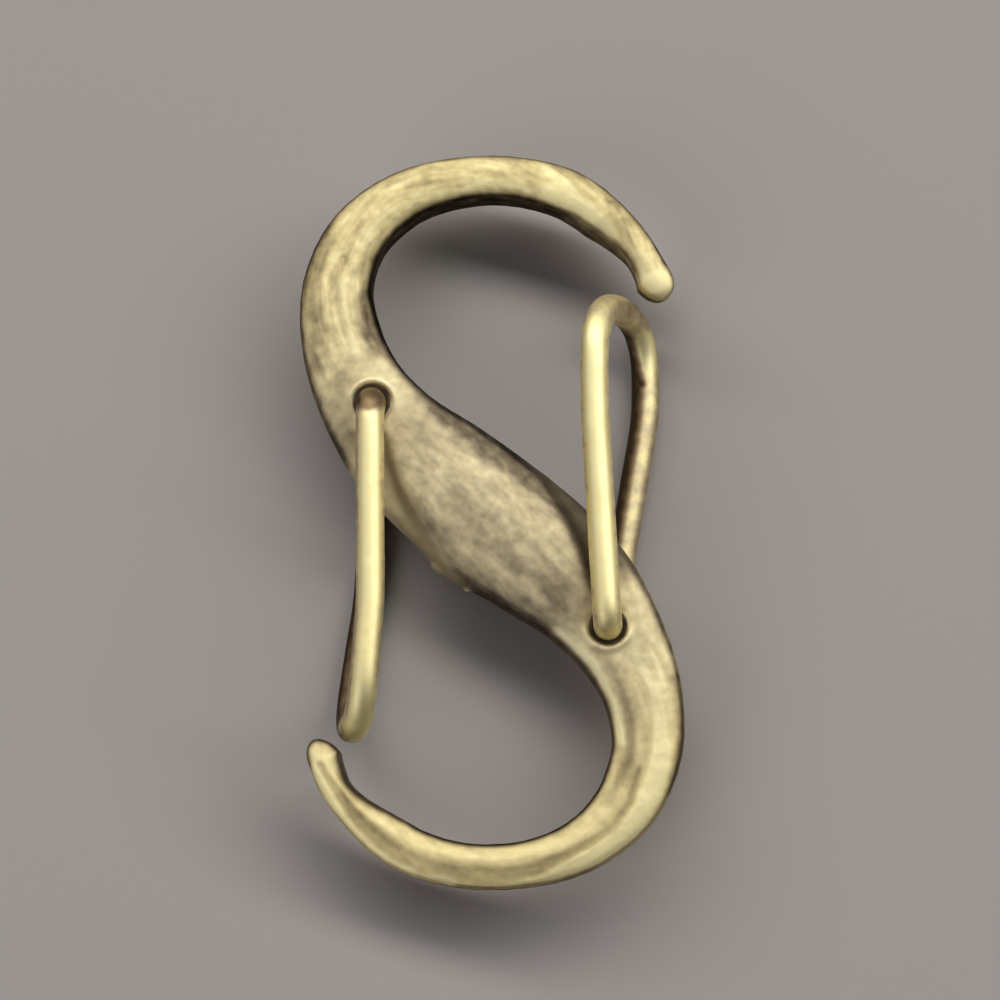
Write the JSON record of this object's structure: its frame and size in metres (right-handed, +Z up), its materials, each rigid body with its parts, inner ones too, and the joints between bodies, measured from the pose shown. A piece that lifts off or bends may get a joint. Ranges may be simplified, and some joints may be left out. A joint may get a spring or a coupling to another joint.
{
  "type": "s-hook clasp",
  "caption": "Cast S-shaped hook clasp in antique brass, with a sprung wire gate that swings inwards across the mouth of each hook.",
  "frame": {"origin": "under the centre of the S, on the surface where the clasp lies on the back legs of its gates", "axes": "+Y along the length towards the upper hook, +X towards the upper gate, +Z up, out of the front face"},
  "size_m": [0.0182, 0.035, 0.0069],
  "materials": {
    "cast_brass": "antique, tumbled casting, dark in the hollows and pale on the rims",
    "wire_brass": "worn plating, semi-bright"
  },
  "bodies": {
    "body": {"s_body": "cast_brass"},
    "upper_gate": {"upper_gate": "wire_brass"},
    "lower_gate": {"lower_gate": "wire_brass"}
  },
  "joints": [
    {"name": "upper_gate_swing", "type": "hinge", "parent": "body", "child": "upper_gate", "pos_m": [0.00555, -0.00535, 0.00345], "axis": [0, 0, 1], "range_deg": [0, 22], "stiffness_Nm_per_rad": 0.03},
    {"name": "lower_gate_swing", "type": "hinge", "parent": "body", "child": "lower_gate", "pos_m": [-0.00555, 0.00535, 0.00345], "axis": [0, 0, 1], "range_deg": [0, 22], "stiffness_Nm_per_rad": 0.03}
  ]
}
